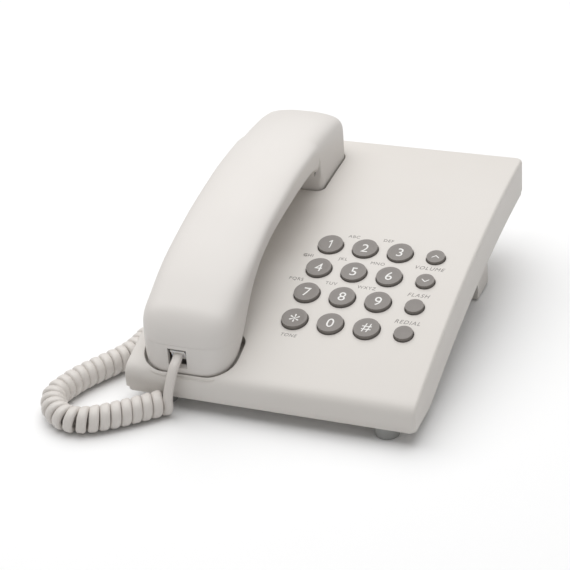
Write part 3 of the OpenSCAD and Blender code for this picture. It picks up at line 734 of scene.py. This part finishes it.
at_plug = Matrix.Translation((HANDSET_X - 2, HANDSET_Y + 1.5, height_at(HANDSET_Y) + 8.2)) @ Matrix.Rotation(
    PLUG_TILT, 4, "X"
)
cut(handset_body, handset_form("handset_inside", SHELL_T))
cut(handset_body, box_cutter("cord_opening", (-4.95, -10, -4.6), (4.95, 15.6, 4.6), at_plug))
outer_shell = handset_body
outer_shell.name = "outer_shell"
inner_shell = outer_shell.copy()
inner_shell.data = outer_shell.data.copy()
inner_shell.name = "inner_shell"
scene.collection.objects.link(inner_shell)
cut(outer_shell, seam_slab("below", False, 0.04))
cut(inner_shell, seam_slab("above", True, -0.04))
for shell, node in ((outer_shell, "handset_outer_shell"), (inner_shell, "handset_inner_shell")):
    shell.data.shade_smooth()
    shell.data.set_sharp_from_angle(angle=math.radians(50))
    shell.data.materials.clear()
    shell.data.materials.append(finishes["handset_plastic"])
    soften(shell, 0.22, segments=2, angle=50)
    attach(shell, "handset")
    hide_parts(node)
print("shells", len(outer_shell.data.polygons), len(inner_shell.data.polygons))

# %% [markdown]
# ## The base's top shell
# The real top shell is one moulding: a skin of even thickness with rounded outer edges, rolled rims
# round the keys and the cups, and a soft hollow for the fingers. It could be cut out of a block with
# booleans and bevelled, but bevels tear where a rim meets a curved skin. Here the flat drawing is
# filled with a constrained Delaunay triangulation that respects each rim as a loop, every rim and
# wall is a strip of quads, the whole sheet is bent round the arch and then given its thickness.

# %% Loops of the flat drawing
SKIN_T = 2.2
SIDE_R, REAR_R = 1.6, 4.0
KEY_PITCH, KEY_X, KEYPAD_Y = 18.7, 0.0, -29.5
keypad_v = along(KEYPAD_Y)
key_layout = [
    ("key_1", 0, 0), ("key_2", 1, 0), ("key_3", 2, 0), ("volume_up_key", 3, 0),
    ("key_4", 0, 1), ("key_5", 1, 1), ("key_6", 2, 1), ("volume_down_key", 3, 1),
    ("key_7", 0, 2), ("key_8", 1, 2), ("key_9", 2, 2), ("flash_key", 3, 2),
    ("key_star", 0, 3), ("key_0", 1, 3), ("key_hash", 2, 3), ("redial_key", 3, 3),
]


def key_spot(col, row):
    """Place of a key in the flat drawing, and its radius."""
    x = KEY_X + (col * KEY_PITCH if col < 3 else 2 * KEY_PITCH + 18.8)
    return x, keypad_v + (1.5 - row) * KEY_PITCH, 6.45 if col < 3 else 4.6


def circle_loop(x, v, r, count=48):
    return [(x + r * math.cos(2 * math.pi * k / count), v + r * math.sin(2 * math.pi * k / count))
            for k in range(count)]


def rounded_loop(x0, x1, v0, v1, radii, step=2.4, corner_steps=8):
    """An anticlockwise rounded rectangle. radii: front right, rear right, rear left, front left."""
    centres = [
        (x1 - radii[0], v0 + radii[0], -90, radii[0]), (x1 - radii[1], v1 - radii[1], 0, radii[1]),
        (x0 + radii[2], v1 - radii[2], 90, radii[2]), (x0 + radii[3], v0 + radii[3], 180, radii[3]),
    ]
    arcs = []
    for cx, cv, start, r in centres:
        arcs.append([(cx + r * math.cos(math.radians(start + 90 * k / corner_steps)),
                      cv + r * math.sin(math.radians(start + 90 * k / corner_steps)))
                     for k in range(corner_steps + 1)])
    loop = []
    for arc, following in zip(arcs, arcs[1:] + arcs[:1]):
        loop += arc
        (ax, av), (bx, bv) = arc[-1], following[0]
        count = max(1, round(math.hypot(bx - ax, bv - av) / step))
        loop += [(ax + (bx - ax) * k / count, av + (bv - av) * k / count) for k in range(1, count)]
    return loop


def grown(loop, distances):
    """The loop moved outward by a distance at each point, square to itself."""
    out = []
    n = len(loop)
    for k, (x, v) in enumerate(loop):
        (ax, av), (bx, bv) = loop[k - 1], loop[(k + 1) % n]
        length = math.hypot(bx - ax, bv - av)
        d = distances[k] if isinstance(distances, list) else distances
        out.append((x + d * (bv - av) / length, v - d * (bx - ax) / length))
    return out


# %% Filling between loops
def inside(point, loop):
    x, v = point
    hit = False
    for (ax, av), (bx, bv) in zip(loop, loop[1:] + loop[:1]):
        if (av > v) != (bv > v) and x < (bx - ax) * (v - av) / (bv - av) + ax:
            hit = not hit
    return hit


def box_of(loop):
    xs, vs = [p[0] for p in loop], [p[1] for p in loop]
    return min(xs), max(xs), min(vs), max(vs)


def near_loop(point, loop, box, margin):
    x, v = point
    if not (box[0] - margin < x < box[1] + margin and box[2] - margin < v < box[3] + margin):
        return False
    return inside(point, loop) or any(math.hypot(px - x, pv - v) < margin for px, pv in loop)


def fill_between(bm, outer, holes, place, step):
    """Even triangles between an outer loop and its holes. Returns each loop's vertices."""
    points, edges = [], []
    for loop in [outer, *holes]:
        first = len(points)
        points += loop
        edges += [(first + k, first + (k + 1) % len(loop)) for k in range(len(loop))]
    counted = len(points)
    hole_boxes = [box_of(hole) for hole in holes]
    x0, x1, v0, v1 = box_of(outer)
    rim = [p for p in outer]
    rows = int((v1 - v0) / (step * 0.866)) + 1
    for j in range(rows):
        for i in range(int((x1 - x0) / step) + 2):
            p = (x0 + (i + 0.5 * (j % 2)) * step, v0 + j * step * 0.866)
            if not inside(p, outer) or any(math.hypot(q[0] - p[0], q[1] - p[1]) < 0.7 * step for q in rim):
                continue
            if any(near_loop(p, hole, box, 0.6 * step) for hole, box in zip(holes, hole_boxes)):
                continue
            points.append(p)
    found, _, faces, origins, _, _ = delaunay_2d_cdt([Vector(p) for p in points], edges, [], 0, 1e-5)
    verts = [bm.verts.new(place(p.x, p.y)) for p in found]
    of_input = {}
    for k, sources in enumerate(origins):
        for source in sources:
            of_input[source] = verts[k]
    for face in faces:
        centre = (sum(found[i].x for i in face) / len(face), sum(found[i].y for i in face) / len(face))
        if not inside(centre, outer):
            continue
        if any(b[0] < centre[0] < b[1] and b[2] < centre[1] < b[3] and inside(centre, hole)
               for hole, b in zip(holes, hole_boxes)):
            continue
        bm.faces.new([verts[i] for i in face])
    rings, first = [], 0
    for loop in [outer, *holes]:
        rings.append([of_input[first + k] for k in range(len(loop))])
        first += len(loop)
    print("filled", len(faces), "triangles from", len(points), "points,", counted, "on rims")
    return rings


# %% [markdown]
# The finger hollow is a smooth dent, deepest under the grip and fading into the surface on the
# keypad's side. A product of soft steps gives it an edge that the eye can follow but not find.

# %% The finger hollow
def hollow_depth(x, v):
    v_mid, half_l = along(6.0), 34.0
    lengthwise = 1 - smooth_step((abs(v - v_mid) - half_l * 0.35) / (half_l * 0.6))
    sideways = 1 - smooth_step((abs(x - (HANDSET_X + 2)) - 10) / 26)
    return 3.4 * lengthwise * sideways


def top_place(x, v):
    return skin_place(x, v, hollow_depth(x, v))


def sunk(x, v, depth):
    """A point square below the surface, with one direction for the whole mouth cup."""
    return skin_place(x, v) + depth * Vector((0, math.sin(lip_slope), -math.cos(lip_slope)))


# %% Rims and walls
EAR_X, EAR_W = HANDSET_X, HANDSET_W + 1.4
ear_y0, ear_y1 = HANDSET_Y + 141.2 - 0.7, HANDSET_Y + HANDSET_L + 0.7
ear_floor = chord_h(HANDSET_L) - 8.9 - 0.5
mouth_v0 = V_FRONT + 2.1


def rim_strips(bm, ring, loop, rows, place):
    """Rolls a rim: each row is (distance outward from the loop, depth)."""
    for distance, depth in rows:
        shifted = grown(loop, distance)
        following = add_ring(bm, [place(x, v, depth) for x, v in shifted])
        bridge(bm, ring, following)
        ring = following
    return ring


def roll(radius, steps=4):
    """Rows of a quarter round from the surface into a wall, inward and down."""
    angles = [math.radians(90 * k / steps) for k in range(1, steps + 1)]
    return [(-radius * math.sin(a), radius * (1 - math.cos(a))) for a in angles]


def side_and_rear():
    """The skin's edge from the front right corner round the rear: place and outward direction."""
    right, rear = BASE_W / 2, V_REAR
    count = 90
    chain = [(right, V_SKIRT + (rear - REAR_R - V_SKIRT) * k / count, 1, 0) for k in range(count)]
    for k in range(13):
        a = math.radians(7.5 * k)
        chain.append((right - REAR_R + REAR_R * math.cos(a), rear - REAR_R + REAR_R * math.sin(a),
                      math.cos(a), math.sin(a)))
    chain += [(x, rear, 0, 1) for x in range(round(right - REAR_R) - 3, 0, -3)]
    return chain + [(-x, v, -nx, nv) for x, v, nx, nv in reversed(chain)]


def build_top_shell():
    bm = bmesh.new()
    chain = side_and_rear()
    edge = [(x - SIDE_R * nx, v - SIDE_R * nv) for x, v, nx, nv in chain]
    front = [(edge[-1][0] + (edge[0][0] - edge[-1][0]) * k / 50, V_SKIRT) for k in range(1, 50)]
    top_edge = edge + front
    holes, rows = [], []
    KEY_GAP, KEY_RIM = 0.4, 0.45
    for _, col, row in key_layout:
        x, v, r = key_spot(col, row)
        holes.append(circle_loop(x, v, r + KEY_GAP + KEY_RIM))
        rows.append([*roll(KEY_RIM), (-KEY_RIM, SKIN_T)])
    CUP_RIM = 0.5
    ear = rounded_loop(EAR_X - EAR_W / 2 - CUP_RIM, EAR_X + EAR_W / 2 + CUP_RIM,
                       along(ear_y0) - CUP_RIM, along(ear_y1) + CUP_RIM, (5.1, 11.6, 11.6, 5.1), 2.0)
    mouth_half = EAR_W / 2 + MOUTH_FLARE + CUP_RIM
    mouth = rounded_loop(HANDSET_X - mouth_half, HANDSET_X + mouth_half,
                         mouth_v0 - CUP_RIM, mouth_v0 + 29 + CUP_RIM, (14.2, 6.5, 6.5, 14.2), 2.0)
    rings = fill_between(bm, top_edge, [*holes, ear, mouth], top_place, 3.0)
    # the edge rolls over and the walls run down to the seam
    ring = rings[0][: len(chain)]
    steps = 6
    for k in range(1, steps + 1):
        a = math.radians(90 * k / steps)
        inset, depth = SIDE_R * (1 - math.sin(a)), SIDE_R * (1 - math.cos(a))
        points = [skin_place(x - inset * nx, v - inset * nv, depth) for x, v, nx, nv in chain]
        for p in points:
            p.y = min(p.y, BASE_D / 2)
        following = add_ring(bm, points)
        bridge(bm, ring, following, closed=False)
        ring = following
    feet = []
    for (_, v, _, _), p in zip(chain, points):
        y = max(p.y, -BASE_D / 2 + SIDE_R + 0.6 * (v - V_SKIRT))
        y = min(y, BASE_D / 2)
        feet.append(Vector((p.x, y, seam_height(y))))
    for share in (0.25, 0.5, 0.75, 1.0):
        following = add_ring(bm, [p.lerp(foot, share) for p, foot in zip(points, feet)])
        bridge(bm, ring, following, closed=False)
        ring = following
    for hole_ring, loop, strip in zip(rings[1:], holes, rows):
        rim_strips(bm, hole_ring, loop, strip, bend)
    # the ear cup has upright walls and a level floor with the hook's hole
    def upright(x, v, depth):
        p = bend(x, v, 0)
        return Vector((p.x, p.y, p.z - depth))

    def at_floor(x, v, depth=0.0):
        p = bend(x, v, 0)
        return Vector((p.x, p.y, ear_floor + depth))

    ring = rim_strips(bm, rings[-2], ear, roll(CUP_RIM), upright)
    for inset, lift in ((CUP_RIM, 1.5), (CUP_RIM + 0.45, 0.45), (CUP_RIM + 1.5, 0.0)):
        following = add_ring(bm, [at_floor(x, v, lift) for x, v in grown(ear, -inset)])
        bridge(bm, ring, following)
        ring = following
    floor_loop = grown(ear, -CUP_RIM - 1.5)
    hook_y = HANDSET_Y + (141.2 + HANDSET_L) / 2 + 4
    hook_v = along(hook_y)
    hook = rounded_loop(EAR_X - 5.8, EAR_X + 5.8, hook_v - 3.8, hook_v + 3.8, (1.5,) * 4, 2.0, 4)
    floor_rings = fill_between(bm, floor_loop, [hook], at_floor, 4.0)
    bmesh.ops.remove_doubles(bm, verts=[*ring, *floor_rings[0]], dist=0.01)
    rim_strips(bm, floor_rings[1], hook, [(0, -SKIN_T)], at_floor)
    # the mouth cup stays square to the surface
    ring = rim_strips(bm, rings[-1], mouth, roll(CUP_RIM), sunk)
    MOUTH_DEPTH = 6.6
    for inset, depth in ((CUP_RIM, MOUTH_DEPTH - 1.5), (CUP_RIM + 0.45, MOUTH_DEPTH - 0.45)):
        following = add_ring(bm, [sunk(x, v, depth) for x, v in grown(mouth, -inset)])
        bridge(bm, ring, following)
        ring = following
    mouth_floor = grown(mouth, -CUP_RIM - 1.5)
    floor_rings = fill_between(bm, mouth_floor, [], lambda x, v: sunk(x, v, MOUTH_DEPTH), 4.0)
    bridge(bm, ring, floor_rings[0])
    bmesh.ops.remove_doubles(bm, verts=bm.verts, dist=0.002)
    return to_object("top_shell", bm, finishes["housing_plastic"])


top_shell = build_top_shell()
thick = top_shell.modifiers.new("thickness", "SOLIDIFY")
thick.thickness = 1.9 * MM
thick.offset = -1.0
thick.use_even_offset = False
bake_modifiers(top_shell)
print("top shell", len(top_shell.data.polygons), "faces")

# %% [markdown]
# The sockets and the two slide switches need windows in the rear and left walls. Those walls are
# plain, so exact booleans with boxes do it cleanly.

# %% Windows in the walls
def window_from(node, grow, reach_lo, reach_hi):
    lo, hi = (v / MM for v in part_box(node))
    grow = Vector(grow)
    return box_cutter(node + "_window", lo - grow + Vector(reach_lo), hi + grow + Vector(reach_hi))


cut(top_shell, window_from("line_jack", (0.15, 0, 0.15), (0, 0, 0), (0, 6, 0)))
cut(top_shell, window_from("base_cord_jack", (0, 0.15, 0.15), (-6, 0, 0), (0, 0, 0)))
SLOT_HALF_W, SLOT_HALF_H = 5.4, 1.8
SLOT_FRONT_Y, SLOT_REAR_Y = 94, 104
for knob in ("ringer_knob", "dial_mode_knob"):
    lo, hi = (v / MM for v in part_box(knob))
    centre = (lo + hi) / 2
    cut(top_shell, box_cutter(knob + "_slot",
                              (centre.x - SLOT_HALF_W, SLOT_FRONT_Y, centre.z - SLOT_HALF_H),
                              (centre.x + SLOT_HALF_W, SLOT_REAR_Y, centre.z + SLOT_HALF_H)))
top_shell.data.shade_smooth()
top_shell.data.set_sharp_from_angle(angle=math.radians(35))
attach(top_shell, "base")
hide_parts("upper_housing")

# %% [markdown]
# ## Pieces kept from the frame
# The rest of the solids are right as they are: keys with a dished top, feet, sockets, screws, the
# board. They get a narrow bevel and the finish of their slot.

# %% Finish the carried-over solids
BEVEL_MM = {"key_plastic": 0.35, "housing_plastic": 0.4, "grey_rubber": 0.25, "black_plastic": 0.2,
            "clear_plug_plastic": 0.3, "steel": 0.1, "board_laminate": 0.1}
slot_of = {part["node"]: part["material_slot"] for part in frame["record"]["subparts"]}
for name, obj in nodes.items():
    if obj.hide_render:
        continue
    slot = slot_of[name]
    obj.data.materials.clear()
    obj.data.materials.append(finishes[slot])
    soften(obj, BEVEL_MM.get(slot, 0.2))
print("kept", sum(not o.hide_render for o in nodes.values()), "solids")

# %% [markdown]
# ## Print
# The digits are pad-printed on the keys and the letters on the housing. Text could be a picture on
# the surface, but real outlines stay sharp from any distance: each word is a text curve made into a
# very thin mesh, cut fine enough to follow the key's dish or the arch.

# %% Text as thin meshes
def flat_text(word, size, lean=0.0, spacing=1.0, weight=0.0):
    curve = bpy.data.curves.new("word", "FONT")
    curve.body = word
    curve.size = size
    curve.shear = lean
    curve.space_character = spacing
    curve.offset = weight
    curve.align_x = "CENTER"
    curve.align_y = "CENTER"
    curve.resolution_u = 5
    holder = bpy.data.objects.new("word", curve)
    scene.collection.objects.link(holder)
    bpy.context.view_layer.update()
    mesh = bpy.data.meshes.new_from_object(holder.evaluated_get(bpy.context.evaluated_depsgraph_get()))
    bpy.data.objects.remove(holder)
    bm = bmesh.new()
    bm.from_mesh(mesh)
    bmesh.ops.remove_doubles(bm, verts=bm.verts, dist=1e-4)
    xs = [v.co.x for v in bm.verts]
    ys = [v.co.y for v in bm.verts]
    centre = Vector(((min(xs) + max(xs)) / 2, (min(ys) + max(ys)) / 2, 0))
    for v in bm.verts:
        v.co -= centre
    return bm


def print_on(name, bm, place, material, body, ink=0.05, cut_size=0.9):
    """Lays a flat word on a surface: place(x, y, lift) gives the surface point."""
    for _ in range(3):
        long_edges = [e for e in bm.edges if e.calc_length() > cut_size]
        if long_edges:
            bmesh.ops.subdivide_edges(bm, edges=long_edges, cuts=1)
    bmesh.ops.triangulate(bm, faces=bm.faces)
    base = list(bm.verts)
    extruded = bmesh.ops.extrude_face_region(bm, geom=list(bm.faces))
    raised = {g for g in extruded["geom"] if isinstance(g, bmesh.types.BMVert)}
    for v in base:
        v.co = place(v.co.x, v.co.y, -ink)
    for v in raised:
        v.co = place(v.co.x, v.co.y, ink)
    obj = to_object(name, bm, material)
    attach(obj, body)
    return obj


# %% Digits on the keys
symbols = {"key_star": "*", "key_hash": "#", "key_0": "0"}
symbols.update({f"key_{k}": str(k) for k in range(1, 10)})
keypad_turn = Matrix.Rotation(math.asin((arc_y - KEYPAD_Y) / TOP_R), 4, "X")
keypad_middle = Vector((KEY_X + 1.5 * KEY_PITCH, KEYPAD_Y, height_at(KEYPAD_Y)))
KEY_PROUD = 1.6
DISH = 3.8


def key_surface(col, row):
    """A function from a place on a key's top to a point in the row frame."""
    local_x = KEY_X - keypad_middle.x + (col * KEY_PITCH if col < 3 else 2 * KEY_PITCH + 18.8)
    local_v = (1.5 - row) * KEY_PITCH
    radius = 6.45 if col < 3 else 4.6
    drop = TOP_R - math.sqrt(TOP_R**2 - local_v**2)
    dish_r = DISH * radius
    sphere_z = KEY_PROUD - drop + math.sqrt(dish_r**2 - (0.78 * radius) ** 2)

    def place(x, y, lift):
        z = min(sphere_z - math.sqrt(dish_r**2 - x * x - y * y), KEY_PROUD - drop) + lift
        return keypad_middle + keypad_turn @ Vector((local_x + x, local_v + y, z))

    return place


def digit_one():
    bm = bmesh.new()
    stem = [(-0.1, -3.0), (0.5, -3.0), (0.5, 3.0), (0.05, 3.0), (-0.1, 2.3)]
    flag = [(-0.1, 1.9), (-0.1, 2.3), (0.05, 3.0), (-1.2, 1.95), (-1.2, 1.4)]
    bm.faces.new([bm.verts.new((x, y, 0)) for x, y in stem])
    bm.faces.new([bm.verts.new((x, y, 0)) for x, y in reversed(flag)])
    return bm


for name, col, row in key_layout:
    if name not in symbols:
        continue
    word = digit_one() if name == "key_1" else flat_text(symbols[name], 8.4 if name != "key_star" else 12.5)
    print_on(name + "_print", word, key_surface(col, row), digit_print, name)


# %% Chevrons on the volume keys
def chevron(direction):
    bm = bmesh.new()
    w, h, t = 1.9, 0.8, 0.32
    outline = [(-w, -h), (0, h), (w, -h), (w, -h + 2 * t), (0, h + 2 * t), (-w, -h + 2 * t)]
    verts = [bm.verts.new((x, direction * (y - t), 0)) for x, y in outline]
    bm.faces.new((verts[0], verts[1], verts[4], verts[5]))
    bm.faces.new((verts[1], verts[2], verts[3], verts[4]))
    return bm


print_on("volume_up_print", chevron(1), key_surface(3, 0), digit_print, "volume_up_key")
print_on("volume_down_print", chevron(-1), key_surface(3, 1), digit_print, "volume_down_key")

# %% Letters beside the keys
letters = {
    "key_2": "ABC", "key_3": "DEF", "key_4": "GHI", "key_5": "JKL", "key_6": "MNO",
    "key_7": "PQRS", "key_8": "TUV", "key_9": "WXYZ",
}


def on_housing(x0, v0):
    return lambda x, y, lift: bend(x0 + x, v0 + y, -lift)


LETTERS_SIZE, LETTERS_LEFT, LETTERS_UP = 3.0, 9.0, 9.4
WORD_SIZE, TONE_SIZE = 3.5, 2.8
for name, col, row in key_layout:
    x, v, radius = key_spot(col, row)
    if name in letters:
        word = flat_text(letters[name], LETTERS_SIZE, spacing=1.15)
        print_on(name + "_letters", word, on_housing(x - LETTERS_LEFT, v + LETTERS_UP), label_print,
                 "base", ink=0.03, cut_size=3)
for label, x, rows_up in (("VOLUME", 55.6, 1.06), ("FLASH", 55.8, -0.03), ("REDIAL", 55.8, -1.06),
                          ("TONE", 0.5, -2.06)):
    word = flat_text(label, WORD_SIZE if label != "TONE" else TONE_SIZE, lean=0.25, spacing=1.2)
    print_on(label.lower() + "_label", word, on_housing(x, keypad_v + rows_up * KEY_PITCH), label_print,
             "base", ink=0.03, cut_size=3)
print("printed", len(symbols), "symbols and", len(letters) + 4, "labels")

# %% [markdown]
# ## Floor and light
# A pale, seamless floor and broad, soft lamps: one large lamp high at the rear left makes the top
# bright and lets the front lip and the right side fall off gently, and a weak one fills the front.

# %% Floor
bm = bmesh.new()
bmesh.ops.create_grid(bm, x_segments=8, y_segments=8, size=4000)
floor = to_object("floor", bm)
floor_finish = finish("floor paint", (0.93, 0.93, 0.93), (0.9, 0.9, 0.9), 0.7, amount=0.1, bump=0.02)
floor.data.materials.append(floor_finish)
floor.location.z = -0.0002


# %% Lamps
def lamp(name, place, target, size, watts):
    data = bpy.data.lights.new(name, "AREA")
    data.size = size
    data.energy = watts
    obj = bpy.data.objects.new(name, data)
    obj.location = place
    obj.rotation_mode = "QUATERNION"
    obj.rotation_quaternion = (Vector(target) - Vector(place)).to_track_quat("-Z", "Y")
    scene.collection.objects.link(obj)


KEY_LAMP_WATTS, TOP_LAMP_WATTS, SKY_STRENGTH = 26, 4, 0.3
lamp("key lamp", (-0.35, 0.3, 1.4), (0, 0, 0), 2.2, KEY_LAMP_WATTS)
lamp("top lamp", (0.25, -0.1, 1.5), (0, 0, 0), 1.2, TOP_LAMP_WATTS)
world = bpy.data.worlds.new("world")
world.use_nodes = True
world.node_tree.nodes["Background"].inputs["Color"].default_value = (1, 1, 1, 1)
world.node_tree.nodes["Background"].inputs["Strength"].default_value = SKY_STRENGTH
scene.world = world
scene.view_settings.view_transform = "Standard"
